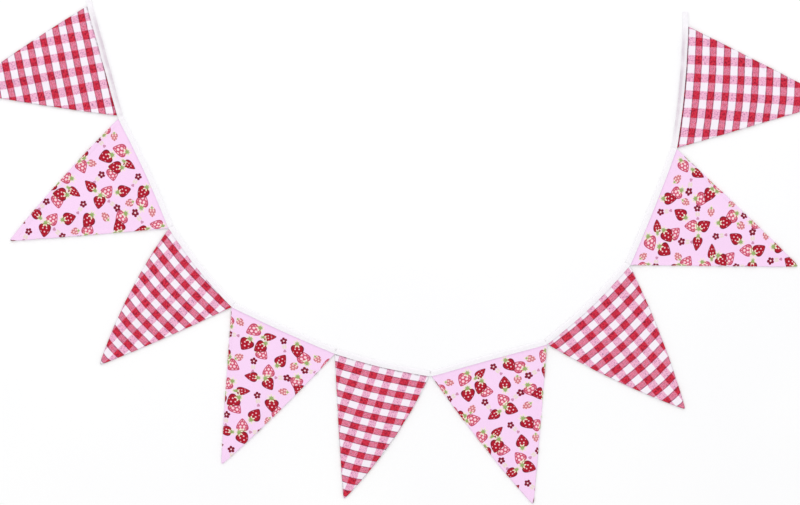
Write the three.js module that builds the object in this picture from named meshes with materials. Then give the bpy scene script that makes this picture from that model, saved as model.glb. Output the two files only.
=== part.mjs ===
// Pennant bunting: nine cotton pennants sewn into one folded cotton tape, laid out flat in a U.
// Millimetres, +Z up. Z = 0 is the surface that the cloth lies on.
// The tape is followed from its left end, down and round the U, to its right end.
// Along the tape, "ahead" is the way it is followed and "down" is away from the fold, towards the tips.

import * as THREE from 'three';

const tapeWidth = 7.6; // from the tape's open edges to its fold
const tapeLayer = 1.0; // one turned layer of the tape
const clothThickness = 1.2; // a pennant, two cloths sewn together and turned
const seamGap = 0.3; // between the cloth and each layer of the tape
const tuckDepth = 4.6; // how far a pennant's top edge reaches into the fold
const tuckTrim = 2.2; // how far its tucked corners are cut back at each side
const tipWidth = 3.0; // across the turned point
const levelReach = 1.5; // the cloth leaves the tape level for this far
const floorReach = 20; // and lies on the surface from here on

const leftTail = { length: 20, heading: -82 };
const rightTail = { length: 20, heading: 90 };

const chordParts = 3; // stretches of the tape's curve along each pennant
const stepsInPart = 3; // steps in each of those stretches
const stepsInTail = 2;
const clothRows = 14; // from the tape's open edge down to the point
const rowCrowding = 1.35; // above 1 puts more of the rows near the tape
const foldSegments = 5; // round the tape's fold

// The soft folds of a pennant: a main one at its ridgeAt, and a lower, shorter one across from it.
const mainFold = { spread: 0.2, height: 1, length: 1 };
const sideFold = { spread: 0.13, height: 0.4, length: 0.625 };
const foldSharpness = 1.3; // above 1 thins a fold out towards its ends

const clothColumns = chordParts * stepsInPart;

// Sizes in mm and headings in degrees, anticlockwise from +X. gap is the bare tape before a pennant.
// lean is how far ahead of its top edge's middle a pennant points.
// The bows push a straight edge out at its middle. A ridge is a soft fold from the tape to the point.
const pennants = [
  { cloth: 'gingham', gap: 0, width: 149, heading: -74.7, drop: 185, lean: -10,
    topBow: 0, backBow: 2.6, frontBow: 1.7, ridge: 3.0, ridgeAt: 0.42 },
  { cloth: 'print', gap: 5.5, width: 158, heading: -65.4, drop: 195, lean: 7,
    topBow: 2, backBow: 2.9, frontBow: 0.4, ridge: 2.6, ridgeAt: 0.62 },
  { cloth: 'gingham', gap: 1.7, width: 132, heading: -51.3, drop: 181, lean: 16.5,
    topBow: -3.4, backBow: 7.5, frontBow: 1.6, ridge: 3.8, ridgeAt: 0.36 },
  { cloth: 'print', gap: 1.3, width: 148.5, heading: -24.4, drop: 192, lean: -1,
    topBow: -1.4, backBow: 0.4, frontBow: 2.6, ridge: 2.8, ridgeAt: 0.56 },
  { cloth: 'gingham', gap: 1.3, width: 127, heading: -13.3, drop: 181, lean: -8,
    topBow: -2.8, backBow: 0.7, frontBow: 8.4, ridge: 4.6, ridgeAt: 0.66 },
  { cloth: 'print', gap: 4.8, width: 157, heading: 15.4, drop: 196, lean: 5,
    topBow: 0, backBow: 3.4, frontBow: 0.2, ridge: 2.6, ridgeAt: 0.40 },
  { cloth: 'gingham', gap: 1.8, width: 149.5, heading: 43.6, drop: 185, lean: -2.5,
    topBow: -4.2, backBow: 4.5, frontBow: 4.5, ridge: 3.6, ridgeAt: 0.55 },
  { cloth: 'print', gap: 2.3, width: 164, heading: 68.2, drop: 204, lean: -1.5,
    topBow: -1.6, backBow: 0, frontBow: 0.8, ridge: 2.4, ridgeAt: 0.60 },
  { cloth: 'gingham', gap: 2.8, width: 160, heading: 84.7, drop: 197, lean: 0,
    topBow: -2.9, backBow: 0.4, frontBow: 0.6, ridge: 3.0, ridgeAt: 0.38 },
];

const slotHeight = clothThickness + 2 * seamGap;
const tapeHeight = 2 * tapeLayer + slotHeight;
const seatHeight = tapeLayer + seamGap; // underside of the cloth inside the fold

function cotton(name, color, roughness) {
  return new THREE.MeshStandardMaterial({ name, color, roughness, metalness: 0 });
}

const tapeCotton = cotton('tape_cotton', 0xf7f4f2, 0.9);
const cottons = {
  gingham: cotton('gingham_cotton', 0xe58c98, 0.9),
  print: cotton('print_cotton', 0xf4cdee, 0.88),
};

function along(heading) {
  const angle = THREE.MathUtils.degToRad(heading);
  return new THREE.Vector3(Math.cos(angle), Math.sin(angle), 0);
}

// Unit vector from the open edges of the tape to its fold, where the tape runs towards ahead.
function foldwards(ahead) {
  return new THREE.Vector3(-ahead.y, ahead.x, 0).normalize();
}

// A low arch, 0 at both ends and 1 in the middle.
function arch(share) {
  return 4 * share * (1 - share);
}

// Walks the table and leaves the tape's curve, with each pennant's place on it.
function layTape() {
  const points = [];
  const place = along(leftTail.heading).multiplyScalar(-leftTail.length);
  points.push(place.clone());
  place.set(0, 0, 0);
  let lastHeading = pennants[0].heading;
  const starts = [];
  for (const pennant of pennants) {
    place.addScaledVector(along((lastHeading + pennant.heading) / 2), pennant.gap);
    const ahead = along(pennant.heading);
    const bowed = foldwards(ahead).multiplyScalar(pennant.topBow);
    starts.push(points.length);
    for (let part = 0; part <= chordParts; part += 1) {
      const share = part / chordParts;
      const point = place.clone().addScaledVector(ahead, share * pennant.width);
      points.push(point.addScaledVector(bowed, arch(share)));
    }
    place.addScaledVector(ahead, pennant.width);
    lastHeading = pennant.heading;
  }
  points.push(place.clone().addScaledVector(along(rightTail.heading), rightTail.length));
  const curve = new THREE.CatmullRomCurve3(points, false, 'centripetal');
  return { curve, starts, stretches: points.length - 1 };
}

// Steps along the whole curve: short ones over the pennants, one over each bare gap.
function tapeSteps({ starts, stretches }) {
  const steps = [0];
  const counts = new Array(stretches).fill(1);
  counts[0] = stepsInTail;
  counts[stretches - 1] = stepsInTail;
  for (const start of starts) {
    counts.fill(stepsInPart, start, start + chordParts);
  }
  counts.forEach((count, stretch) => {
    for (let step = 1; step <= count; step += 1) {
      steps.push((stretch + step / count) / stretches);
    }
  });
  return steps;
}

// One side of the tape's fold, from its lower end to its upper one.
function foldArc(radius) {
  const middle = new THREE.Vector2(tapeWidth - tapeHeight / 2, tapeHeight / 2);
  const arc = [];
  for (let step = 0; step <= foldSegments; step += 1) {
    const angle = Math.PI * (step / foldSegments - 0.5);
    arc.push(new THREE.Vector2(Math.cos(angle), Math.sin(angle)).multiplyScalar(radius).add(middle));
  }
  return arc;
}

// The tape's section: x runs from the open edges to the fold, y is height above the surface.
function hairpinSection() {
  return [
    new THREE.Vector2(0, 0),
    ...foldArc(tapeHeight / 2),
    new THREE.Vector2(0, tapeHeight),
    new THREE.Vector2(0, tapeHeight - tapeLayer),
    ...foldArc(slotHeight / 2).reverse(),
    new THREE.Vector2(0, tapeLayer),
  ];
}

function closedGeometry(positions, triangles) {
  const geometry = new THREE.BufferGeometry();
  geometry.setAttribute('position', new THREE.Float32BufferAttribute(positions, 3));
  geometry.setIndex(triangles);
  geometry.computeVertexNormals();
  return geometry;
}

// Carries the section along the curve, square to it, and closes both hemmed ends.
function tapeGeometry(tape) {
  const section = hairpinSection();
  const steps = tapeSteps(tape);
  const positions = [];
  for (const step of steps) {
    const place = tape.curve.getPoint(step);
    const across = foldwards(tape.curve.getTangent(step));
    for (const corner of section) {
      positions.push(place.x + across.x * corner.x, place.y + across.y * corner.x, corner.y);
    }
  }
  const triangles = [];
  const count = section.length;
  for (let ring = 0; ring < steps.length - 1; ring += 1) {
    for (let corner = 0; corner < count; corner += 1) {
      const here = ring * count + corner;
      const beside = ring * count + (corner + 1) % count;
      triangles.push(here, beside, here + count, beside, beside + count, here + count);
    }
  }
  const last = (steps.length - 1) * count;
  for (const [a, b, c] of THREE.ShapeUtils.triangulateShape(section, [])) {
    triangles.push(a, c, b, last + a, last + b, last + c);
  }
  return closedGeometry(positions, triangles);
}

// Height of one soft fold that runs down the cloth at a share of its width.
function foldRise(fold, foldAt, across, down) {
  const rise = Math.sin(Math.PI * Math.min(1, down / fold.length)) ** foldSharpness;
  return fold.height * rise * Math.exp(-(((across - foldAt) / fold.spread) ** 2));
}

// Height of the pennant's underside: level in the tape, then down to the surface, with its soft folds.
function undersideHeight(pennant, across, down) {
  const settled = THREE.MathUtils.smoothstep(down * pennant.drop, levelReach, floorReach);
  const mainRise = foldRise(mainFold, pennant.ridgeAt, across, down);
  const sideRise = foldRise(sideFold, 1 - pennant.ridgeAt, across, down);
  return seatHeight * (1 - settled) + pennant.ridge * (mainRise + sideRise) * settled;
}

// A pennant is a grid of columns across and rows down, with its first row tucked into the tape.
function pennantGeometry(tape, pennant, start) {
  const ahead = along(pennant.heading);
  const downwards = foldwards(ahead).negate();
  const onTape = (across) => tape.curve.getPoint((start + across * chordParts) / tape.stretches);
  const middle = onTape(0).lerp(onTape(1), 0.5);
  const tip = middle.clone().addScaledVector(downwards, pennant.drop).addScaledVector(ahead, pennant.lean);

  const tucked = (across) => {
    const trimmed = THREE.MathUtils.lerp(tuckTrim, pennant.width - tuckTrim, across) / pennant.width;
    const param = (start + trimmed * chordParts) / tape.stretches;
    return onTape(trimmed).addScaledVector(foldwards(tape.curve.getTangent(param)), tuckDepth);
  };
  const hanging = (across, down) => {
    const foot = tip.clone().addScaledVector(ahead, (across - 0.5) * tipWidth);
    const bow = across * pennant.frontBow - (1 - across) * pennant.backBow;
    return onTape(across).lerp(foot, down).addScaledVector(ahead, bow * arch(down));
  };

  const lower = [];
  const upper = [];
  for (let row = -1; row <= clothRows; row += 1) {
    const down = Math.max(0, row / clothRows) ** rowCrowding;
    for (let column = 0; column <= clothColumns; column += 1) {
      const across = column / clothColumns;
      const spot = row < 0 ? tucked(across) : hanging(across, down);
      const height = undersideHeight(pennant, across, down);
      lower.push(spot.x, spot.y, height);
      upper.push(spot.x, spot.y, height + clothThickness);
    }
  }
  return closedGeometry([...lower, ...upper], slabTriangles(clothRows + 2, clothColumns + 1));
}

// Faces of a slab whose lower grid of points comes first and whose upper grid follows it.
function slabTriangles(rows, columns) {
  const above = rows * columns;
  const triangles = [];
  for (let row = 0; row < rows - 1; row += 1) {
    for (let column = 0; column < columns - 1; column += 1) {
      const here = row * columns + column;
      const below = here + columns;
      triangles.push(here, here + 1, below, here + 1, below + 1, below);
      triangles.push(above + here, above + below, above + here + 1);
      triangles.push(above + here + 1, above + below, above + below + 1);
    }
  }
  const wall = (from, to) => {
    triangles.push(from, above + from, to, to, above + from, above + to);
  };
  const lastRow = (rows - 1) * columns;
  for (let column = 0; column < columns - 1; column += 1) {
    wall(column, column + 1);
    wall(lastRow + column + 1, lastRow + column);
  }
  for (let row = 0; row < rows - 1; row += 1) {
    wall((row + 1) * columns, row * columns);
    wall((row + 1) * columns - 1, (row + 2) * columns - 1);
  }
  return triangles;
}

function namedMesh(name, geometry, material) {
  const mesh = new THREE.Mesh(geometry, material);
  mesh.name = name;
  return mesh;
}

const tape = layTape();
const bunting = new THREE.Group();
bunting.add(namedMesh('tape', tapeGeometry(tape), tapeCotton));
pennants.forEach((pennant, index) => {
  const geometry = pennantGeometry(tape, pennant, tape.starts[index]);
  bunting.add(namedMesh(`pennant_${index + 1}`, geometry, cottons[pennant.cloth]));
});

// The origin is on the surface, below the middle of the whole bunting.
const middleOfAll = new THREE.Box3().setFromObject(bunting).getCenter(new THREE.Vector3());
bunting.position.set(-middleOfAll.x, -middleOfAll.y, 0);

export default bunting;
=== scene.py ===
import math

import bmesh
import bpy
from mathutils import Matrix, Vector, noise


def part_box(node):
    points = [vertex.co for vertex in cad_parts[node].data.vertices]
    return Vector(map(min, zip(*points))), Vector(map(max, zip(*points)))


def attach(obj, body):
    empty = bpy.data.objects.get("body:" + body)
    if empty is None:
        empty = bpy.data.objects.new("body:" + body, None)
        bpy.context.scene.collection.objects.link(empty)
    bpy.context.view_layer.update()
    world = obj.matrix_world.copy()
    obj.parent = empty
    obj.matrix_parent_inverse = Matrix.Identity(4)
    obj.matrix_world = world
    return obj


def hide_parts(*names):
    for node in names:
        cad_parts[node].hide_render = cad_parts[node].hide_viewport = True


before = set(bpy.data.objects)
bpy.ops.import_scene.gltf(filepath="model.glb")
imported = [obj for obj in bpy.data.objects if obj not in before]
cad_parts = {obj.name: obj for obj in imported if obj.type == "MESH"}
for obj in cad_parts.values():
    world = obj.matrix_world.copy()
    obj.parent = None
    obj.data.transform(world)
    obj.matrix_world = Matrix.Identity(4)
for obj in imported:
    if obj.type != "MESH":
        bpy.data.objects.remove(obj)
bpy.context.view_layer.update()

# Pennant bunting laid out flat: nine cotton pennants in one folded tape. Metres and degrees.
# The tape is followed from its left end, down and round the U, to its right end.
# "Ahead" is the way it is followed, and "down" is away from its fold, towards the pennants' points.

millimetres = 1000  # in a metre

layValues = {
    "chordParts": 3,  # stretches of the tape's curve along each pennant
    "leftTail": (0.020, -82),  # length and heading
    "rightTail": (0.020, 90),
}

# Each pennant from the left: the gap before it, its top's width and heading, how far down its tip is and
# how far ahead that leans, how far its top, back and front sides bow out, the height of its main fold and
# where that lies across it, and how dark the painted shade of the tape's lip is on the cloth beside it.
pennantColumns = (
    "cloth", "gap", "width", "heading", "drop", "lean",
    "topBow", "backBow", "frontBow", "ridge", "ridgeAt", "lipShade",
)
pennantRows = [
    ("gingham", 0.0000, 0.1490, -74.7, 0.185, -0.0100, 0.0000, 0.0026, 0.0017, 0.0030, 0.42, 1.6),
    ("print", 0.0055, 0.1580, -65.4, 0.195, 0.0070, 0.0020, 0.0029, 0.0004, 0.0026, 0.62, 0.15),
    ("gingham", 0.0017, 0.1320, -51.3, 0.181, 0.0165, -0.0034, 0.0075, 0.0016, 0.0038, 0.36, 0.3),
    ("print", 0.0013, 0.1485, -24.4, 0.192, -0.0010, -0.0014, 0.0004, 0.0026, 0.0028, 0.56, 0.15),
    ("gingham", 0.0013, 0.1270, -13.3, 0.181, -0.0080, -0.0028, 0.0007, 0.0084, 0.0046, 0.66, 1.6),
    ("print", 0.0048, 0.1570, 15.4, 0.196, 0.0050, 0.0000, 0.0034, 0.0002, 0.0026, 0.40, 0.15),
    ("gingham", 0.0018, 0.1495, 43.6, 0.185, -0.0025, -0.0042, 0.0045, 0.0045, 0.0036, 0.55, 0.3),
    ("print", 0.0023, 0.1640, 68.2, 0.204, -0.0015, -0.0016, 0.0000, 0.0008, 0.0024, 0.60, 0.15),
    ("gingham", 0.0028, 0.1600, 84.7, 0.197, 0.0000, -0.0029, 0.0004, 0.0006, 0.0030, 0.38, 2.4),
]
pennants = [dict(zip(pennantColumns, row)) for row in pennantRows]

# How the woven checks lie on each gingham pennant: rows run along the tape and columns down the cloth.
# A pitch is one red and one white check, a turn is in degrees, and an "at" is where the red is, in pitches.
checkColumns = ("rowPitch", "rowTurn", "rowAt", "columnPitch", "columnTurn", "columnAt")
checkRows = {
    1: (0.01862, -3.3, 0.693, 0.02228, 4.8, 0.349),
    3: (0.01850, 4.3, 0.379, 0.02064, -7.0, 0.113),
    5: (0.01803, 0.0, 0.668, 0.02037, 6.1, 0.641),
    7: (0.01907, -1.8, 0.487, 0.02185, 3.9, 0.906),
    9: (0.01937, 0.6, 0.767, 0.02287, -1.9, 0.591),
}

# How far the print is slid along and down each printed pennant, and its turn in degrees.
printColumns = ("slideAlong", "slideDown", "turn")
printRows = {
    2: (0.006, 0.001, 2.0),
    4: (0.000, 0.000, -1.5),
    6: (0.004, 0.001, 1.0),
    8: (0.009, 0.001, -2.0),
}


def along(heading):
    angle = math.radians(heading)
    return Vector((math.cos(angle), math.sin(angle), 0))


def foldwards(ahead):  # from the tape's open edges to its fold
    return Vector((-ahead.y, ahead.x, 0)).normalized()


def arch(share):  # 0 at both ends and 1 in the middle
    return 4 * share * (1 - share)


def smooth(value, low, high):
    share = min(1, max(0, (value - low) / (high - low)))
    return share * share * (3 - 2 * share)


def mix(a, b, share):
    return a + (b - a) * share


def layTape():
    length, heading = layValues["leftTail"]
    points = [along(heading) * -length]
    starts = []
    place = Vector((0, 0, 0))
    lastHeading = pennants[0]["heading"]
    for pennant in pennants:
        place += along((lastHeading + pennant["heading"]) / 2) * pennant["gap"]
        ahead = along(pennant["heading"])
        starts.append(len(points))
        for part in range(layValues["chordParts"] + 1):
            share = part / layValues["chordParts"]
            bow = foldwards(ahead) * pennant["topBow"] * arch(share)
            points.append(place + ahead * share * pennant["width"] + bow)
        place += ahead * pennant["width"]
        lastHeading = pennant["heading"]
    length, heading = layValues["rightTail"]
    points.append(place + along(heading) * length)
    return points, starts


def curvePoint(points, stretch):  # place and direction on a centripetal Catmull-Rom curve
    index = min(int(stretch), len(points) - 2)
    share = stretch - index
    here, there = points[index], points[index + 1]
    before = points[index - 1] if index > 0 else 2 * here - there
    after = points[index + 2] if index + 2 < len(points) else 2 * there - here
    knotA = (here - before).length ** 0.5
    knotB = (there - here).length ** 0.5
    knotC = (after - there).length ** 0.5
    slopeA = (here - before) / knotA - (there - before) / (knotA + knotB) + (there - here) / knotB
    slopeB = (there - here) / knotB - (after - here) / (knotB + knotC) + (after - there) / knotC
    slopeA *= knotB
    slopeB *= knotB
    bend = 3 * (there - here) - 2 * slopeA - slopeB
    twist = 2 * (here - there) + slopeA + slopeB
    place = here + slopeA * share + bend * share ** 2 + twist * share ** 3
    ahead = slopeA + 2 * bend * share + 3 * twist * share ** 2
    return place, ahead.normalized()


tapePoints, pennantStarts = layTape()


# Folded tape

tapeValues = {
    "solidWidth": 0.0076,
    "openEdge": 0.0013,  # the open edges' distance above the line of the pennants' tops
    "width": 0.0071,
    "layer": 0.0009,
    "pennantRoom": 0.00118,  # between the layers, where a pennant is sewn in
    "tailRoom": 0.00015,
    "stitchLine": 0.0015,  # in from the open edges
    "pinch": 0.0004,  # how far the stitching presses the upper layer down
    "pinchSpread": 0.0015,
    "pinchRoom": 0.0010,  # the room between the layers that takes the whole pinch
    "step": 0.0015,
    "jointReach": (-0.0030, 0.0020),  # the layers close between these distances out of and into a pennant
    "dentDepth": 0.0016,
    "dentPull": 0.0017,  # how far a dent at a joint draws the fold in
    "dentSpread": 0.0014,
    "dentAcross": (0.35, 0.85),  # shares of the width where a dent starts and is full
    "dentFloor": 1.45,  # a dent leaves the upper layer this high, in layers
    "dents": (0.25, 0.2, 1, 1, 1, 0.9, 0.3, 0.25),  # share of a full dent at each joint, from the left
    "sectionParts": 28,
    "pucker": 0.00014,
    "puckerLength": 0.0065,
    "puckerChange": 3,  # how far the puckers' noise moves on, round the whole fold
    "puckerSeed": 1.7,
    "edgeWander": 0.00022,
    "wanderLength": 0.021,
    "wanderChange": 0.7,
    "wanderSeed": 9.1,
    "edgeRound": 0.3,  # in layers
    "edgeSegments": 2,
    "edgeAngle": 60,
}


def tapeStations():  # (stretch, distance along) every step along the tape
    stations = []
    walked = 0
    last = None
    stretchCount = len(tapePoints) - 1
    for stretch in range(stretchCount):
        length = (tapePoints[stretch + 1] - tapePoints[stretch]).length
        parts = max(4, round(length / tapeValues["step"]))
        for part in range(parts + (stretch == stretchCount - 1)):
            spot = stretch + part / parts
            place = curvePoint(tapePoints, spot)[0]
            walked += (place - last).length if last else 0
            last = place
            stations.append((spot, walked))
    return stations


stations = tapeStations()
tapeLength = stations[-1][1]
distanceAt = {spot: walked for spot, walked in stations if spot == int(spot)}
pennantSpans = [(distanceAt[start], distanceAt[start + layValues["chordParts"]]) for start in pennantStarts]
joints = [(before[1] + after[0]) / 2 for before, after in zip(pennantSpans, pennantSpans[1:])]

# The tape as laid is slid to where the frame has its box
edgeSpots = []
for spot, walked in stations:
    place, ahead = curvePoint(tapePoints, spot)
    edgeSpots += [place, place + foldwards(ahead) * tapeValues["solidWidth"]]
tapeLow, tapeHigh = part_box("tape")
layShift = Vector((
    tapeLow.x - min(edge.x for edge in edgeSpots),
    tapeHigh.y - max(edge.y for edge in edgeSpots),
    0,
))


def stitchPress(room):  # how far the stitching presses the upper layer down
    return tapeValues["pinch"] * smooth(room, 0, tapeValues["pinchRoom"])


def tapeSection(share, room):  # middle of the folded layer: distance from the open edges, and height
    layer = tapeValues["layer"]
    rise = layer + room
    radius = rise / 2
    flat = tapeValues["width"] - layer / 2 - radius
    walked = share * (2 * flat + math.pi * radius)
    if walked < flat:
        return walked, layer / 2
    if walked < flat + math.pi * radius:
        angle = (walked - flat) / radius - math.pi / 2
        return flat + radius * math.cos(angle), layer / 2 + radius * (1 + math.sin(angle))
    x = 2 * flat + math.pi * radius - walked
    nearStitches = math.exp(-(((x - tapeValues["stitchLine"]) / tapeValues["pinchSpread"]) ** 2))
    return x, layer / 2 + rise - nearStitches * stitchPress(room)


def tapeRoom(walked):  # room between the layers
    inPennant = max(min(walked - first, last - walked) for first, last in pennantSpans)
    opened = smooth(inPennant, *tapeValues["jointReach"])
    return mix(tapeValues["tailRoom"], tapeValues["pennantRoom"] + tapeValues["pinch"], opened)


def dentAt(walked):
    spread = tapeValues["dentSpread"]
    return max(
        share * math.exp(-(((walked - joint) / spread) ** 2))
        for share, joint in zip(tapeValues["dents"], joints)
    )


def tapeSpot(station, share):
    spot, walked = station
    place, ahead = curvePoint(tapePoints, spot)
    x, height = tapeSection(share, tapeRoom(walked))
    change = share * tapeValues["puckerChange"]
    ripple = noise.noise(Vector((walked / tapeValues["puckerLength"], change, tapeValues["puckerSeed"])))
    change = share * tapeValues["wanderChange"]
    wander = noise.noise(Vector((walked / tapeValues["wanderLength"], change, tapeValues["wanderSeed"])))
    upper = smooth(height, tapeValues["layer"], 2 * tapeValues["layer"])
    dent = dentAt(walked) * smooth(x / tapeValues["width"], *tapeValues["dentAcross"])
    x += tapeValues["openEdge"] + wander * tapeValues["edgeWander"] - dent * tapeValues["dentPull"]
    lowered = max(height - dent * tapeValues["dentDepth"], tapeValues["dentFloor"] * tapeValues["layer"])
    height = mix(height, lowered, upper) + ripple * tapeValues["pucker"] * upper
    return place + layShift + foldwards(ahead) * x + Vector((0, 0, height)), dent


def smoothFaces(mesh):
    for polygon in mesh.polygons:
        polygon.use_smooth = True


def finishMesh(bm, name, material):
    mesh = bpy.data.meshes.new(name)
    bm.to_mesh(mesh)
    bm.free()
    smoothFaces(mesh)
    mesh.materials.append(material)
    piece = bpy.data.objects.new(name, mesh)
    bpy.context.scene.collection.objects.link(piece)
    return piece


def applyModifiers(piece):
    shown = piece.evaluated_get(bpy.context.evaluated_depsgraph_get())
    mesh = bpy.data.meshes.new_from_object(shown)
    smoothFaces(mesh)
    piece.modifiers.clear()
    piece.data = mesh


def makeTape(material):
    sectionParts = tapeValues["sectionParts"]
    bm = bmesh.new()
    uvLayer = bm.loops.layers.uv.new("clothUv")
    shadeLayer = bm.verts.layers.float.new("rim")
    bmesh.ops.create_grid(bm, x_segments=len(stations) - 1, y_segments=sectionParts, size=0.5)
    cut = {}
    for vert in bm.verts:
        index = round((vert.co.x + 0.5) * (len(stations) - 1))
        share = vert.co.y + 0.5
        cut[vert] = (stations[index][1], share * 2 * tapeValues["width"])
        # The dent at a joint also sets painted shade there, through the rim attribute
        vert.co, vert[shadeLayer] = tapeSpot(stations[index], share)
    for face in bm.faces:
        for loop in face.loops:
            loop[uvLayer].uv = cut[loop.vert]
    bmesh.ops.recalc_face_normals(bm, faces=bm.faces[:])
    tape = finishMesh(bm, "folded_tape", material)
    wall = tape.modifiers.new("thickness", "SOLIDIFY")
    wall.thickness = tapeValues["layer"]
    wall.offset = 0
    wall.use_even_offset = False
    roundEdges = tape.modifiers.new("round", "BEVEL")
    roundEdges.width = tapeValues["edgeRound"] * tapeValues["layer"]
    roundEdges.segments = tapeValues["edgeSegments"]
    roundEdges.limit_method = "ANGLE"
    roundEdges.angle_limit = math.radians(tapeValues["edgeAngle"])
    applyModifiers(tape)
    return tape


# Stitching along the tape's open edges

stitchValues = {
    "length": 0.0025,
    "gap": 0.0007,
    "thickness": 0.00042,
    "sink": 0.00006,
    "start": 0.004,  # from the tape's left end
    "end": 0.003,  # before its right end
    "sides": 6,
    "rings": 5,
}


def makeStitches(material):
    bm = bmesh.new()
    spacing = stitchValues["length"] + stitchValues["gap"]
    nextAt = stitchValues["start"]
    halfThread = stitchValues["thickness"] / 2
    halves = (stitchValues["length"] / 2, halfThread, halfThread, 1)
    aboveTops = tapeValues["openEdge"] + tapeValues["stitchLine"]
    for here, there in zip(stations, stations[1:]):
        while nextAt < there[1] and nextAt < tapeLength - stitchValues["end"]:
            share = (nextAt - here[1]) / (there[1] - here[1])
            spot = mix(here[0], there[0], share)
            place, ahead = curvePoint(tapePoints, spot)
            room = tapeRoom(nextAt)
            top = 2 * tapeValues["layer"] + room - stitchPress(room)
            turn = Matrix.Rotation(math.atan2(ahead.y, ahead.x), 4, "Z")
            middle = place + layShift + foldwards(ahead) * aboveTops
            middle.z = top + halfThread - stitchValues["sink"]
            bmesh.ops.create_uvsphere(
                bm, u_segments=stitchValues["sides"], v_segments=stitchValues["rings"], radius=1,
                matrix=Matrix.Translation(middle) @ turn @ Matrix.Diagonal(halves),
            )
            nextAt += spacing
    return finishMesh(bm, "tape_stitching", material)


# Pennants

clothValues = {
    "tuck": 0.0046,  # how far the top edge reaches into the tape
    "tuckTrim": 0.0022,  # how far its tucked corners are cut back at each side
    "tipWidth": 0.0030,
    "tipRound": 0.0011,
    "tipRoundPower": 8,  # how late the rounding of the tip starts
    "tipSide": 0.0001,  # the tip's own distance from its edge
    "sideSlant": 0.93,  # a side is this much nearer than straight across
    "seat": 0.00095,  # underside of the cloth in the tape
    "levelReach": 0.0015,  # it starts to sink towards the floor here
    "floorReach": 0.020,  # and is down by here
    "tuckedThickness": 0.00105,
    "openReach": (0.001, 0.008),  # the cloth opens to its full thickness between these distances down
    "middleThickness": 0.00095,
    "seamThickness": 0.00165,
    "seamBand": (0.0055, 0.0071),  # the thick seam thins out between these distances from a side
    "edgeRadius": 0.0009,
    "rimReach": 0.0016,  # the side seams' shade fades out in from the side
    "rimStart": 0.002,  # and fades in down from the tape
    "lipReach": (-0.0011, 0.0009),  # the tape's lip shades the cloth up to here
    "rimShade": {"gingham": 1.0, "print": 0.4},
    "edgeBand": 0.0080,
    "edgeBandMost": 0.35,  # share of the width
    "edgeColumns": 8,
    "edgeCrowding": 1.8,
    "middleColumns": 44,
    "rows": 92,
    "rowCrowding": 1.12,
    "tuckRows": 3,
    "seedStart": 0.5,
    "seedStep": 2.37,
    "sidePucker": 0.00042,
    "sidePuckerLift": 0.35,  # how much of a side lies in puckers
    "sidePuckerLength": 0.011,
    "sidePuckerReach": 0.009,
    "sidePuckerApart": 5,  # how far apart in the noise the two sides are
    "topPucker": 0.00030,
    "topPuckerLength": 0.0075,
    "topPuckerChange": 0.025,
    "topPuckerReach": 0.012,
    "topPuckerClear": 0.006,  # full from this far below the tape's lip
    "unevenness": 0.00050,
    "unevenLift": 0.25,
    "unevenLength": 0.042,
    "unevenSeedStep": 3,
    "edgeWander": 0.00035,
    "edgeWanderLength": 0.019,
    "edgeWanderApart": 3,
    "edgeWanderPower": 3,  # odd, as the sides move apart or together
}
mainFold = {"spread": 0.2, "height": 1, "length": 1}
sideFold = {"spread": 0.13, "height": 0.4, "length": 0.625}
foldSharpness = 1.3


def foldRise(fold, foldAt, across, down):
    rise = math.sin(math.pi * min(1, down / fold["length"])) ** foldSharpness
    return fold["height"] * rise * math.exp(-(((across - foldAt) / fold["spread"]) ** 2))


def columnShare(column, width):  # where a column of points stands across the cloth, closer near the seams
    edge = clothValues["edgeColumns"]
    middle = clothValues["middleColumns"]
    band = min(clothValues["edgeBand"], clothValues["edgeBandMost"] * width)
    fromEnd = min(column, 2 * edge + middle - column)
    if fromEnd < edge:
        share = band * (fromEnd / edge) ** clothValues["edgeCrowding"] / width
        return share if column < edge else 1 - share
    return (band + (width - 2 * band) * (column - edge) / middle) / width


def sideNoise(across, reach, kind, seed):  # another for each side of the cloth
    apart = clothValues[kind + "Apart"] * (1 if across > 0.5 else -1)
    return noise.noise(Vector((reach / clothValues[kind + "Length"], apart, seed)))


def clothHeight(pennant, seed, across, down, side, reach):
    settled = smooth(reach, clothValues["levelReach"], clothValues["floorReach"])
    mainRise = foldRise(mainFold, pennant["ridgeAt"], across, down)
    sideRise = foldRise(sideFold, 1 - pennant["ridgeAt"], across, down)
    folds = pennant["ridge"] * (mainRise + sideRise)
    pucker = max(0, clothValues["sidePuckerLift"] + sideNoise(across, reach, "sidePucker", seed))
    puckers = clothValues["sidePucker"] * pucker * math.exp(-side / clothValues["sidePuckerReach"])
    onCloth = across * pennant["width"]
    spot = Vector((onCloth, reach, 0)) / clothValues["unevenLength"]
    spot.z = seed * clothValues["unevenSeedStep"]
    uneven = clothValues["unevenness"] * max(0, clothValues["unevenLift"] + noise.noise(spot))
    spot = Vector((onCloth / clothValues["topPuckerLength"], reach / clothValues["topPuckerChange"], seed))
    gathers = clothValues["topPucker"] * abs(noise.noise(spot))
    gathers *= smooth(reach, 0, clothValues["topPuckerClear"])
    gathers *= math.exp(-reach / clothValues["topPuckerReach"])
    return clothValues["seat"] * (1 - settled) + (folds + puckers + uneven) * settled + gathers


def clothThickness(side, reach):  # full thickness, and how much of it the rounded rim leaves
    seam = 1 - smooth(side, *clothValues["seamBand"])
    untucked = mix(clothValues["middleThickness"], clothValues["seamThickness"], seam)
    full = mix(clothValues["tuckedThickness"], untucked, smooth(reach, *clothValues["openReach"]))
    inset = 1 - min(1, side / clothValues["edgeRadius"])
    return full, math.sqrt(max(0, 1 - inset * inset))


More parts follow.
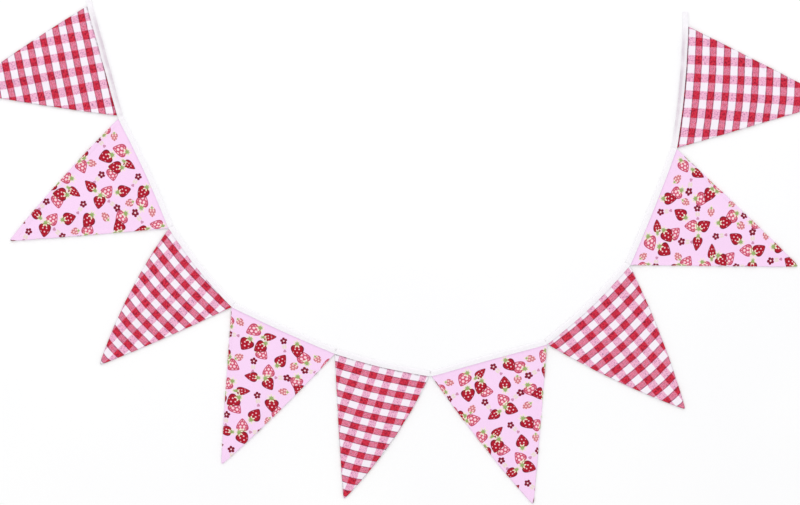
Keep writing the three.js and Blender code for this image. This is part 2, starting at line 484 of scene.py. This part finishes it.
def makePennant(index, material):
    pennant = pennants[index]
    start = pennantStarts[index]
    seed = index * clothValues["seedStep"] + clothValues["seedStart"]
    ahead = along(pennant["heading"])
    downwards = -foldwards(ahead)
    parts = layValues["chordParts"]
    first = curvePoint(tapePoints, start)[0]
    last = curvePoint(tapePoints, start + parts)[0]
    tip = (first + last) / 2 + downwards * pennant["drop"] + ahead * pennant["lean"]

    columns = 2 * clothValues["edgeColumns"] + clothValues["middleColumns"]
    rows = clothValues["rows"] + clothValues["tuckRows"]

    # A point's place, its place on the cut cloth, half the thickness there and its painted shade near a rim
    # or the lip
    def layCloth(column, row):
        down = max(0, row / clothValues["rows"]) ** clothValues["rowCrowding"]
        width = mix(pennant["width"], clothValues["tipWidth"], down)
        across = columnShare(column, width)
        tucked = max(0, -row / clothValues["tuckRows"])
        trim = clothValues["tuckTrim"] * tucked / pennant["width"]
        onTape, tapeAhead = curvePoint(tapePoints, start + mix(trim, 1 - trim, across) * parts)
        reach = down * pennant["drop"]
        fromSide = min(across, 1 - across) * width * clothValues["sideSlant"]
        side = min(fromSide, (1 - down) * pennant["drop"] + clothValues["tipSide"])

        bow = (across * pennant["frontBow"] - (1 - across) * pennant["backBow"]) * arch(down)
        wander = clothValues["edgeWander"] * sideNoise(across, reach, "edgeWander", seed)
        wander *= (2 * across - 1) ** clothValues["edgeWanderPower"] * arch(down)
        foot = tip + ahead * (across - 0.5) * clothValues["tipWidth"]
        rounding = (1 - arch(across)) * down ** clothValues["tipRoundPower"]
        foot -= downwards * clothValues["tipRound"] * rounding
        place = onTape.lerp(foot, down) + ahead * (bow + wander) + layShift
        place += foldwards(tapeAhead) * clothValues["tuck"] * tucked

        full, swell = clothThickness(side, reach)
        place.z = clothHeight(pennant, seed, across, down, side, reach) + full / 2
        slant = pennant["lean"] * down + bow
        flat = ((across - 0.5) * width + slant, reach - clothValues["tuck"] * tucked)
        # Painted shade along the side seams, and the tape lip's painted shadow across the top of the cloth
        rim = (1 - smooth(side, 0, clothValues["rimReach"])) * smooth(reach, 0, clothValues["rimStart"])
        rim *= clothValues["rimShade"][pennant["cloth"]]
        lip = pennant["lipShade"] * (1 - smooth(flat[1], *clothValues["lipReach"]))
        return place, flat, full / 2 * swell, max(rim, lip)

    laid = {}
    for column in range(columns + 1):
        for row in range(-clothValues["tuckRows"], clothValues["rows"] + 1):
            laid[column, row] = layCloth(column, row)

    bm = bmesh.new()
    uvLayer = bm.loops.layers.uv.new("clothUv")
    shadeLayer = bm.verts.layers.float.new("rim")
    bmesh.ops.create_grid(bm, x_segments=columns, y_segments=rows, size=0.5)
    underside = bm.verts[:]
    lifted = bmesh.ops.extrude_face_region(bm, geom=bm.faces[:], use_keep_orig=True)
    topside = [part for part in lifted["geom"] if isinstance(part, bmesh.types.BMVert)]
    cut = {}
    for verts, direction in ((underside, -1), (topside, 1)):
        for vert in verts:
            column = round((vert.co.x + 0.5) * columns)
            row = round((0.5 - vert.co.y) * rows) - clothValues["tuckRows"]
            place, cut[vert], half, vert[shadeLayer] = laid[column, row]
            vert.co = place + Vector((0, 0, direction * half))
    for face in bm.faces:
        for loop in face.loops:
            loop[uvLayer].uv = cut[loop.vert]
    bmesh.ops.recalc_face_normals(bm, faces=bm.faces[:])
    return finishMesh(bm, f"{pennant['cloth']}_pennant_{index + 1}", material)


# Shader building blocks

def addNode(tree, kind, sockets=None, **settings):
    node = tree.nodes.new(kind)
    for key, value in settings.items():
        setattr(node, key, value)
    for key, value in (sockets or {}).items():
        if isinstance(value, bpy.types.NodeSocket):
            tree.links.new(value, node.inputs[key])
        else:
            node.inputs[key].default_value = value
    return node


def maths(tree, operation, *values):
    return addNode(tree, "ShaderNodeMath", dict(enumerate(values)), operation=operation).outputs[0]


def vectors(tree, operation, *values):
    node = addNode(tree, "ShaderNodeVectorMath", dict(enumerate(values)), operation=operation)
    return node.outputs["Value" if operation in ("LENGTH", "DOT_PRODUCT") else "Vector"]


def step(tree, value, low, high):  # 0 below low, 1 above high, smooth between
    sockets = {"Value": value, "From Min": low, "From Max": high}
    return addNode(tree, "ShaderNodeMapRange", sockets, interpolation_type="SMOOTHSTEP").outputs[0]


def inside(tree, value, edge, blur):  # 1 where value is below the edge
    return maths(tree, "SUBTRACT", 1.0, step(tree, value, edge - blur, edge + blur))


def square(tree, value):
    return maths(tree, "MULTIPLY", value, value)


def blend(tree, share, under, over, way="MIX"):
    sockets = {0: share, 6: under, 7: over}
    return addNode(tree, "ShaderNodeMix", sockets, data_type="RGBA", blend_type=way).outputs[2]


def noiseValue(tree, place, scale, detail=2.0):
    sockets = {"Vector": place, "Scale": scale, "Detail": detail}
    return addNode(tree, "ShaderNodeTexNoise", sockets).outputs[0]


def streakNoise(tree, place, scale):  # a noise stretched along or down the cloth
    return noiseValue(tree, addNode(tree, "ShaderNodeMapping", {0: place, 3: scale}).outputs[0], 1.0)


def startGroup(name, inputs, outputs):
    group = bpy.data.node_groups.new(name, "ShaderNodeTree")
    kinds = {"vector": "NodeSocketVector", "value": "NodeSocketFloat", "colour": "NodeSocketColor"}
    for socket, kind in inputs:
        group.interface.new_socket(name=socket, in_out="INPUT", socket_type=kinds[kind])
    for socket, kind in outputs:
        group.interface.new_socket(name=socket, in_out="OUTPUT", socket_type=kinds[kind])
    return group, group.nodes.new("NodeGroupInput").outputs


def endGroup(group, results):
    addNode(group, "NodeGroupOutput", results)
    return group


def useGroup(tree, group, sockets):
    return addNode(tree, "ShaderNodeGroup", sockets, node_tree=group).outputs


def linear(red, green, blue):  # a colour as read on screen, 0 to 255, made linear
    def level(value):
        value /= 255
        return value / 12.92 if value <= 0.04045 else ((value + 0.055) / 1.055) ** 2.4
    return (level(red), level(green), level(blue), 1)


# Plain weave: which thread is on top, and how high the cloth stands. Place is in metres on the cut cloth.

weaveValues = {
    "pitch": {"gingham": 0.000460, "print": 0.000368, "tape": 0.000414},  # from thread to thread
    "overlap": 0.25,  # blur where one thread goes under another
    "slubScale": (240, 1100, 1),
    "shadeUpTo": 0.5,  # height of the cloth where the shade between threads ends
    "shadeShare": 0.16,
    "shade": (0.55, 0.5, 0.52, 1),
}


def plainWeave():
    group, given = startGroup(
        "plain weave", [("Place", "vector"), ("Thread", "value")],
        [("Weft", "value"), ("Height", "value"), ("Slub", "value")],
    )
    threads = vectors(group, "SCALE", given["Place"])
    turns = maths(group, "DIVIDE", math.pi, given["Thread"])
    group.links.new(turns, threads.node.inputs["Scale"])
    split = addNode(group, "ShaderNodeSeparateXYZ", {0: threads}).outputs
    crossing = maths(group, "MULTIPLY", maths(group, "SINE", split[0]), maths(group, "SINE", split[1]))
    weft = step(group, crossing, -weaveValues["overlap"], weaveValues["overlap"])
    height = maths(group, "ABSOLUTE", crossing)
    slub = streakNoise(group, given["Place"], weaveValues["slubScale"])
    return endGroup(group, {"Weft": weft, "Height": height, "Slub": slub})


weaveGroup = plainWeave()


def weaveOf(tree, cloth, place):
    return useGroup(tree, weaveGroup, {"Place": place, "Thread": weaveValues["pitch"][cloth]})


def threadShade(tree, colour, weave):  # a little darker between the threads
    between = maths(tree, "SUBTRACT", 1.0, step(tree, weave["Height"], 0.0, weaveValues["shadeUpTo"]))
    share = maths(tree, "MULTIPLY", between, weaveValues["shadeShare"])
    return blend(tree, share, colour, weaveValues["shade"], "MULTIPLY")


# Gingham

ginghamValues = {
    "white": linear(248, 241, 250),
    "whiteOverRed": linear(248, 204, 225),
    "redUnderWhite": linear(242, 160, 196),
    "mauveSpeck": linear(160, 88, 146),
    "red": linear(220, 46, 72),
    "whiteUnderRed": linear(240, 162, 194),
    "mauveEdge": linear(146, 70, 120),
    "deepRed": linear(136, 14, 44),
    "redEdge": linear(108, 10, 44),
    "edgeLine": (0.16, 0.23),  # where a row's darker edge starts and is full, in pitches from its middle
    "edge": 0.030,  # blur of a check's edge, in pitches
    "wobble": 0.05,
    "wobbleScale": 90.0,
    "slubPull": 1.8,  # how far a thick weft thread covers more of the warp
    "warpPull": -0.45,  # a streak in the warp covers more of the weft
}
streakValues = {  # the noise's scale along and down the cloth, and where a streak starts and is full
    "weft": ((320, 1400, 1), 0.48, 0.68),
    "warp": ((1000, 360, 1), 0.49, 0.66),
    "mottle": ((420, 300, 1), 0.46, 0.72),
    "broken edge": ((170, 900, 1), 0.34, 0.58),
}


def streaks(group, place, kind):
    scale, start, full = streakValues[kind]
    return step(group, streakNoise(group, place, scale), start, full)


def ginghamCheck():
    group, given = startGroup(
        "gingham check",
        [("Place", "vector"), ("Row wave", "vector"), ("Row at", "value"),
         ("Column wave", "vector"), ("Column at", "value")],
        [("Colour", "colour"), ("Height", "value")],
    )
    cloth = given["Place"]
    weave = weaveOf(group, "gingham", cloth)
    wobble = maths(group, "SUBTRACT", noiseValue(group, cloth, ginghamValues["wobbleScale"], 1.0), 0.5)
    wobble = maths(group, "MULTIPLY", wobble, ginghamValues["wobble"])
    masks = []
    fromMiddle = []
    for wave, at in (("Row wave", "Row at"), ("Column wave", "Column at")):
        turns = vectors(group, "DOT_PRODUCT", cloth, given[wave])
        turns = maths(group, "SUBTRACT", maths(group, "ADD", turns, wobble), given[at])
        fromRed = maths(group, "PINGPONG", turns, 0.5)
        fromMiddle.append(fromRed)
        masks.append(inside(group, fromRed, 1 / 4, ginghamValues["edge"]))
    row, column = masks
    warpStreak = streaks(group, cloth, "warp")
    edgeLine = step(group, fromMiddle[0], *ginghamValues["edgeLine"])
    edgeLine = maths(group, "MULTIPLY", edgeLine, streaks(group, cloth, "broken edge"))
    darker = maths(group, "MAXIMUM", streaks(group, cloth, "weft"), streaks(group, cloth, "mottle"))
    red = blend(group, darker, ginghamValues["red"], ginghamValues["deepRed"])
    red = blend(group, edgeLine, red, ginghamValues["redEdge"])
    weftWhite = blend(group, column, ginghamValues["white"], ginghamValues["whiteOverRed"])
    weft = blend(group, row, weftWhite, red)
    warpPink = blend(group, warpStreak, ginghamValues["redUnderWhite"], ginghamValues["mauveSpeck"])
    rowWhite = blend(group, edgeLine, ginghamValues["whiteUnderRed"], ginghamValues["mauveEdge"])
    warpWhite = blend(group, row, ginghamValues["white"], rowWhite)
    warpRed = blend(group, row, warpPink, red)
    warp = blend(group, column, warpWhite, warpRed)
    thick = maths(group, "SUBTRACT", weave["Slub"], 0.5)
    share = maths(group, "MULTIPLY_ADD", thick, ginghamValues["slubPull"], weave["Weft"])
    streaky = maths(group, "MULTIPLY", warpStreak, column)
    share = maths(group, "MULTIPLY_ADD", streaky, ginghamValues["warpPull"], share)
    share = addNode(group, "ShaderNodeClamp", {0: share}).outputs[0]
    colour = blend(group, share, warp, weft)
    return endGroup(group, {"Colour": threadShade(group, colour, weave), "Height": weave["Height"]})


# The berry print, charted in a repeat. Inside the motifs, places are in millimetres.

printValues = {
    "repeat": (104.0, 80.0, 1.0),
    "ground": linear(250, 216, 248),
    "leaf": linear(152, 178, 102),
    "leafTip": linear(246, 236, 212),
    "tipShares": (0.10, 0.54),  # where a leaf turns pale, as shares of its swing
    "rimBlur": 0.08,
    "fleshBlur": 0.1,
    "dotBlur": 0.3,
    "lobeBlur": 0.22,
    "wornFrom": (0.5, 0.9),  # the thickest yarn takes a little less of the print
    "wornShare": 0.06,
}
berrySize = {
    "halves": (7.3, 8.8),
    "taper": 0.062,
    "fleshUpTo": 0.75,
    "dotPitch": 4.9,
    "dotRows": 4.3,
    "dotsUpTo": 0.61,  # as fleshUpTo, a share of the oval's value at its rim
    "leavesAt": 9.4,
    "leaves": (7.0, 1.4, 4.4, 1.6),  # how many, inner radius, swing and sharpness
}
budSize = {
    "halves": (4.5, 5.6),
    "taper": 0.04,
    "fleshUpTo": 0.70,
    "dotPitch": 3.7,
    "dotRows": 3.1,
    "dotsUpTo": 1.0,
    "leavesAt": 4.9,
    "leaves": (3.0, 0.7, 2.3, 1.6),
}
berryKinds = {
    "berry": {
        "flesh": linear(174, 4, 36), "rim": linear(118, 2, 30),
        "dot": linear(253, 206, 218), "dotSize": 1.8, **berrySize,
    },
    "pale": {
        "flesh": linear(210, 86, 114), "rim": linear(192, 70, 104),
        "dot": linear(255, 212, 224), "dotSize": 3.2, **berrySize,
    },
    "bud": {
        "flesh": linear(214, 124, 134), "rim": linear(194, 100, 118),
        "dot": linear(252, 210, 214), "dotSize": 2.0, **budSize,
    },
}
sprigValues = {  # places along its line, and lobes as a berry's leaves
    "flowerAt": 6.3,
    "petals": (5.0, 2.5, 2.3, 0.55),
    "petal": linear(130, 3, 40),
    "heart": linear(253, 206, 218),
    "heartSize": 1.15,
    "heartBlur": 0.3,
    "leafAt": -1.5,
    "leafAside": 1.5,
    "leafHalves": (1.3, 3.0),
    "leafBlur": 0.4,
    "leaf": linear(236, 222, 210),
    "budAt": -7.2,
    "budLobes": (3.0, 1.4, 0.8, 0.7),
    "bud": linear(208, 146, 178),
}
motifColumns = ("kind", "along", "down", "turn", "slim")
motifRows = [  # places in the repeat in mm, turn in degrees, and how wide beside its full form
    ("sprig", 10, 15, 32, 1.0),
    ("pale", 36, 18, -128, 1.0), ("berry", 28, 14, 24, 1.0),
    ("bud", 53, 13, 64, 1.0),
    ("pale", 70, 15, -38, 1.0),
    ("berry", 92, 13, 118, 0.66),
    ("berry", 15, 34, 168, 1.0),
    ("bud", 32, 35, -10, 1.0),
    ("sprig", 51, 32, 104, 1.0),
    ("berry", 70, 36, -8, 1.0),
    ("pale", 93, 38, 70, 1.0), ("berry", 86, 31, -30, 1.0),
    ("pale", 6, 54, 205, 1.0),
    ("sprig", 25, 55, -64, 1.0),
    ("pale", 43, 54, 15, 1.0), ("berry", 50, 60, -96, 1.0),
    ("bud", 70, 55, 148, 1.0),
    ("sprig", 89, 57, 20, 1.0),
    ("berry", 14, 70, 56, 1.0),
    ("bud", 33, 71, -70, 1.0),
    ("pale", 68, 69, 84, 1.0),
    ("berry", 93, 71, -72, 0.8),
]


def polar(group, x, y):
    radius = maths(group, "SQRT", maths(group, "ADD", square(group, x), square(group, y)))
    return radius, maths(group, "ARCTAN2", x, y)


def lobes(group, x, y, count, inner, swing, sharpness):  # leaves or petals round a middle, and the radius
    radius, angle = polar(group, x, y)
    wave = maths(group, "ABSOLUTE", maths(group, "COSINE", maths(group, "MULTIPLY", angle, count / 2)))
    edge = maths(group, "MULTIPLY_ADD", maths(group, "POWER", wave, sharpness), swing, inner)
    return inside(group, maths(group, "SUBTRACT", radius, edge), 0.0, printValues["lobeBlur"]), radius


def dotRows(group, x, y, pitch, rowPitch, size):  # every second row is half a pitch over
    high = maths(group, "DIVIDE", y, rowPitch)
    shift = maths(group, "MULTIPLY", maths(group, "FLOOR", high), 0.5)
    wide = maths(group, "ADD", maths(group, "DIVIDE", x, pitch), shift)
    fromX = maths(group, "MULTIPLY", maths(group, "SUBTRACT", maths(group, "FRACT", wide), 0.5), pitch)
    fromY = maths(group, "MULTIPLY", maths(group, "SUBTRACT", maths(group, "FRACT", high), 0.5), rowPitch)
    return inside(group, polar(group, fromX, fromY)[0], size / 2, printValues["dotBlur"])


def ovalValue(group, x, y, halves):  # below 1 inside an oval
    wide = square(group, maths(group, "DIVIDE", x, halves[0]))
    return maths(group, "ADD", wide, square(group, maths(group, "DIVIDE", y, halves[1])))


def startMotif(name):
    group, given = startGroup(name, [("Colour", "colour"), ("Place", "vector")], [("Colour", "colour")])
    split = addNode(group, "ShaderNodeSeparateXYZ", {0: given["Place"]}).outputs
    return group, given["Colour"], split[0], split[1]


def berryMotif(name, kind):
    group, colour, x, y = startMotif(name)
    narrowed = maths(group, "DIVIDE", x, maths(group, "MULTIPLY_ADD", y, kind["taper"], 1.0))
    value = ovalValue(group, narrowed, y, kind["halves"])
    colour = blend(group, inside(group, value, 1.0, printValues["rimBlur"]), colour, kind["rim"])
    flesh = inside(group, value, kind["fleshUpTo"], printValues["fleshBlur"])
    colour = blend(group, flesh, colour, kind["flesh"])
    dots = dotRows(group, x, y, kind["dotPitch"], kind["dotRows"], kind["dotSize"])
    dots = maths(group, "MULTIPLY", dots, inside(group, value, kind["dotsUpTo"], printValues["rimBlur"]))
    colour = blend(group, dots, colour, kind["dot"])
    leafY = maths(group, "SUBTRACT", y, kind["leavesAt"])
    leaves, radius = lobes(group, x, leafY, *kind["leaves"])
    inner, swing = kind["leaves"][1:3]
    tips = step(group, radius, *(inner + share * swing for share in printValues["tipShares"]))
    green = blend(group, tips, printValues["leaf"], printValues["leafTip"])
    return endGroup(group, {"Colour": blend(group, leaves, colour, green)})


def sprigMotif():  # a small flower, two pale leaves and a bud in a line
    group, colour, x, y = startMotif("sprig motif")
    leafX = maths(group, "SUBTRACT", maths(group, "ABSOLUTE", x), sprigValues["leafAside"])
    leafY = maths(group, "SUBTRACT", y, sprigValues["leafAt"])
    oval = ovalValue(group, leafX, leafY, sprigValues["leafHalves"])
    leaf = inside(group, oval, 1.0, sprigValues["leafBlur"])
    colour = blend(group, leaf, colour, sprigValues["leaf"])
    bud = lobes(group, x, maths(group, "SUBTRACT", y, sprigValues["budAt"]), *sprigValues["budLobes"])[0]
    colour = blend(group, bud, colour, sprigValues["bud"])
    flowerY = maths(group, "SUBTRACT", y, sprigValues["flowerAt"])
    petals, radius = lobes(group, x, flowerY, *sprigValues["petals"])
    colour = blend(group, petals, colour, sprigValues["petal"])
    heart = inside(group, radius, sprigValues["heartSize"], sprigValues["heartBlur"])
    return endGroup(group, {"Colour": blend(group, heart, colour, sprigValues["heart"])})


def berryPrint():
    group, given = startGroup(
        "berry print", [("Place", "vector")],
        [("Colour", "colour"), ("Height", "value")],
    )
    motifs = {kind: berryMotif(f"{kind} motif", values) for kind, values in berryKinds.items()}
    motifs["sprig"] = sprigMotif()
    wide, tall, deep = printValues["repeat"]
    low = (-wide / 2, -tall / 2, -deep)
    high = (wide / 2, tall / 2, deep)
    scale = (millimetres, -millimetres, 0)
    inMillimetres = addNode(group, "ShaderNodeMapping", {0: given["Place"], 3: scale}).outputs[0]
    colour = printValues["ground"]
    for motif in (dict(zip(motifColumns, row)) for row in motifRows):
        place = vectors(group, "SUBTRACT", inMillimetres, (motif["along"], -motif["down"], 0))
        place = vectors(group, "WRAP", place, high, low)
        turn = (0, 0, math.radians(-motif["turn"]))
        turned = addNode(group, "ShaderNodeMapping", {0: place, 2: turn}).outputs[0]
        slimmed = vectors(group, "MULTIPLY", turned, (1 / motif["slim"], 1, 1))
        colour = useGroup(group, motifs[motif["kind"]], {"Colour": colour, "Place": slimmed})[0]
    weave = weaveOf(group, "print", given["Place"])
    worn = step(group, weave["Slub"], *printValues["wornFrom"])
    worn = maths(group, "MULTIPLY", worn, printValues["wornShare"])
    colour = threadShade(group, blend(group, worn, colour, printValues["ground"]), weave)
    return endGroup(group, {"Colour": colour, "Height": weave["Height"]})


# Painted shade where cloth turned under at a seam sits in its own shade, also under the tape's lip and in
# its dents

seamValues = {
    "shade": linear(98, 70, 84),
    "depth": 0.55,
    "patchScale": 160.0,
    "patchFrom": (0.25, 0.65),
}


def seamShade():
    group, given = startGroup(
        "seam shade", [("Colour", "colour"), ("Rim", "value"), ("Place", "vector"), ("Depth", "value")],
        [("Colour", "colour")],
    )
    patches = noiseValue(group, given["Place"], seamValues["patchScale"], 1.0)
    patchy = step(group, patches, *seamValues["patchFrom"])
    share = maths(group, "MULTIPLY", maths(group, "MULTIPLY", given["Rim"], patchy), given["Depth"])
    return endGroup(group, {"Colour": blend(group, share, given["Colour"], seamValues["shade"], "MULTIPLY")})


ginghamGroup = ginghamCheck()
printGroup = berryPrint()
seamGroup = seamShade()
print("shader groups built")


# Materials

clothFinish = {
    "roughness": 0.86,
    "specular": 0.25,
    "sheen": 0.06,
    "sheenRoughness": 0.4,
    "bump": 0.35,
    "bumpDepth": 0.00010,
}


def startMaterial(name):
    material = bpy.data.materials.new(name)
    material.use_nodes = True
    tree = material.node_tree
    shader = tree.nodes["Principled BSDF"]
    shader.inputs["Roughness"].default_value = clothFinish["roughness"]
    shader.inputs["Sheen Weight"].default_value = clothFinish["sheen"]
    shader.inputs["Sheen Roughness"].default_value = clothFinish["sheenRoughness"]
    shader.inputs["Specular IOR Level"].default_value = clothFinish["specular"]
    return material, tree, shader


def clothPlace(tree):
    return addNode(tree, "ShaderNodeUVMap", uv_map="clothUv").outputs[0]


def clothBump(tree, shader, height):
    sockets = {"Strength": clothFinish["bump"], "Distance": clothFinish["bumpDepth"], "Height": height}
    bump = addNode(tree, "ShaderNodeBump", sockets)
    tree.links.new(bump.outputs[0], shader.inputs["Normal"])


def paintCloth(tree, shader, made, place):
    # The rim attribute holds painted shade, which the seam shade group lays on the colour
    rim = addNode(tree, "ShaderNodeAttribute", attribute_name="rim").outputs["Fac"]
    sockets = {"Colour": made["Colour"], "Rim": rim, "Place": place, "Depth": seamValues["depth"]}
    shaded = useGroup(tree, seamGroup, sockets)[0]
    tree.links.new(shaded, shader.inputs["Base Color"])
    clothBump(tree, shader, made["Height"])


def ginghamMaterial(number):
    checks = dict(zip(checkColumns, checkRows[number]))
    material, tree, shader = startMaterial(f"gingham_cotton_{number}")
    rowTurn = math.radians(checks["rowTurn"])
    columnTurn = math.radians(checks["columnTurn"])
    rowWave = Vector((math.sin(rowTurn), math.cos(rowTurn), 0)) / checks["rowPitch"]
    columnWave = Vector((math.cos(columnTurn), math.sin(columnTurn), 0)) / checks["columnPitch"]
    place = clothPlace(tree)
    made = useGroup(tree, ginghamGroup, {
        "Place": place,
        "Row wave": rowWave,
        "Row at": checks["rowAt"],
        "Column wave": columnWave,
        "Column at": checks["columnAt"],
    })
    paintCloth(tree, shader, made, place)
    return material


def printMaterial(number):
    slide = dict(zip(printColumns, printRows[number]))
    material, tree, shader = startMaterial(f"print_cotton_{number}")
    sockets = {
        0: clothPlace(tree),
        1: (slide["slideAlong"], slide["slideDown"], 0),
        2: (0, 0, math.radians(slide["turn"])),
    }
    place = addNode(tree, "ShaderNodeMapping", sockets).outputs[0]
    made = useGroup(tree, printGroup, {"Place": place})
    paintCloth(tree, shader, made, place)
    return material


tapeFinish = {
    "white": linear(251, 249, 252),
    "soft": linear(244, 241, 247),
    "softFrom": (0.35, 0.8),
    # Painted shade on the tape: a greyer colour laid on in patches near its ends, mostly along the fold
    "paintedShade": linear(220, 208, 218),
    "patchScale": 70.0,
    "patchFrom": (0.05, 0.6),
    "paintedShadeReach": (0.13, 0.19),  # painted shade: the tape is greyer near its ends
    "unshadedEnd": (0.010, 0.055),  # the last of each end has no painted shade
    "paintedShadeShare": 0.95,
    "foldBand": (0.0022, 0.0050),  # most of that painted shade lies along the fold
    "awayFromFold": 0.3,
}


def tapeMaterial():
    material, tree, shader = startMaterial("tape_cotton")
    place = clothPlace(tree)
    weave = weaveOf(tree, "tape", place)
    share = step(tree, weave["Slub"], *tapeFinish["softFrom"])
    colour = blend(tree, share, tapeFinish["white"], tapeFinish["soft"])
    split = addNode(tree, "ShaderNodeSeparateXYZ", {0: place}).outputs
    # Painted shade: greyer near each end of the tape and mostly along its fold, clear at the very ends
    fromEnd = maths(tree, "PINGPONG", split[0], tapeLength / 2)
    paintedShade = maths(tree, "SUBTRACT", 1.0, step(tree, fromEnd, *tapeFinish["paintedShadeReach"]))
    paintedShade = maths(tree, "MULTIPLY", paintedShade, step(tree, fromEnd, *tapeFinish["unshadedEnd"]))
    fromFold = maths(tree, "ABSOLUTE", maths(tree, "SUBTRACT", split[1], tapeValues["width"]))
    offFold = step(tree, fromFold, *tapeFinish["foldBand"])
    offFold = maths(tree, "MULTIPLY", offFold, 1 - tapeFinish["awayFromFold"])
    paintedShade = maths(tree, "MULTIPLY", paintedShade, maths(tree, "SUBTRACT", 1.0, offFold))
    patchy = step(tree, noiseValue(tree, place, tapeFinish["patchScale"]), *tapeFinish["patchFrom"])
    paintedShade = maths(tree, "MULTIPLY", maths(tree, "MULTIPLY", paintedShade, patchy), tapeFinish["paintedShadeShare"])
    colour = blend(tree, paintedShade, colour, tapeFinish["paintedShade"])
    made = {"Colour": threadShade(tree, colour, weave), "Height": weave["Height"]}
    paintCloth(tree, shader, made, place)
    return material


threadFinish = {"scale": 1800.0, "softFrom": (0.3, 0.7)}


def threadMaterial():
    material, tree, shader = startMaterial("stitching_thread")
    place = addNode(tree, "ShaderNodeTexCoord").outputs["Object"]
    share = step(tree, noiseValue(tree, place, threadFinish["scale"]), *threadFinish["softFrom"])
    colour = blend(tree, share, tapeFinish["white"], tapeFinish["soft"])
    tree.links.new(colour, shader.inputs["Base Color"])
    return material


# Pieces

tape = makeTape(tapeMaterial())
stitching = makeStitches(threadMaterial())
for piece in (tape, stitching):
    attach(piece, "root")
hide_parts("tape")
print("tape made", round(tapeLength, 4), "m long")

for index, pennant in enumerate(pennants):
    number = index + 1
    material = ginghamMaterial(number) if pennant["cloth"] == "gingham" else printMaterial(number)
    piece = makePennant(index, material)
    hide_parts(f"pennant_{number}")
    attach(piece, "root")
print("pennants made")


# Floor, light and camera

stageValues = {
    "floorSize": 12.0,
    "floorBelow": 0.0003,
    "skyStrength": 0.935,
    "keyEnergy": 20.0,
    "keySize": 2.4,
    "keyPlace": (-0.4, 2.4, 2.1),
    "pictureWidth": 1.056,  # what the picture takes in at the surface, 800 pixels wide
    "pictureMiddle": (0.0026, -0.0070),
    "cameraHeight": 3.2,
    "sensor": 0.036,
}
floorFinish = {
    "pale": linear(252, 252, 252),
    "cloudy": linear(250, 250, 251),
    "cloudScale": 3.0,
    "cloudFrom": (0.3, 0.7),
    "roughness": 0.9,
    "specular": 0.1,
}


def makeStage():
    bm = bmesh.new()
    bmesh.ops.create_grid(bm, x_segments=1, y_segments=1, size=stageValues["floorSize"] / 2)
    for vert in bm.verts:
        vert.co.z = -stageValues["floorBelow"]
    material = bpy.data.materials.new("floor_paint")
    material.use_nodes = True
    tree = material.node_tree
    shader = tree.nodes["Principled BSDF"]
    place = addNode(tree, "ShaderNodeTexCoord").outputs["Object"]
    share = step(tree, noiseValue(tree, place, floorFinish["cloudScale"]), *floorFinish["cloudFrom"])
    colour = blend(tree, share, floorFinish["pale"], floorFinish["cloudy"])
    tree.links.new(colour, shader.inputs["Base Color"])
    shader.inputs["Roughness"].default_value = floorFinish["roughness"]
    shader.inputs["Specular IOR Level"].default_value = floorFinish["specular"]
    finishMesh(bm, "floor", material)


def makeLight():
    world = bpy.data.worlds.new("pale room")
    world.use_nodes = True
    sky = world.node_tree.nodes["Background"]
    sky.inputs["Color"].default_value = (1, 1, 1, 1)
    sky.inputs["Strength"].default_value = stageValues["skyStrength"]
    bpy.context.scene.world = world
    light = bpy.data.lights.new("key", "AREA")
    light.energy = stageValues["keyEnergy"]
    light.size = stageValues["keySize"]
    key = bpy.data.objects.new("key", light)
    key.location = stageValues["keyPlace"]
    key.rotation_euler = (-Vector(stageValues["keyPlace"])).to_track_quat("-Z", "Y").to_euler()
    bpy.context.scene.collection.objects.link(key)


def makeCamera():
    lens = bpy.data.cameras.new("above")
    lens.sensor_width = stageValues["sensor"] * millimetres
    lens.lens = lens.sensor_width * stageValues["cameraHeight"] / stageValues["pictureWidth"]
    camera = bpy.data.objects.new("above", lens)
    camera.location = (*stageValues["pictureMiddle"], stageValues["cameraHeight"])
    bpy.context.scene.collection.objects.link(camera)
    bpy.context.scene.camera = camera


makeStage()
makeLight()
makeCamera()
bpy.context.scene.view_settings.view_transform = "Standard"
print("stage, light and camera made")
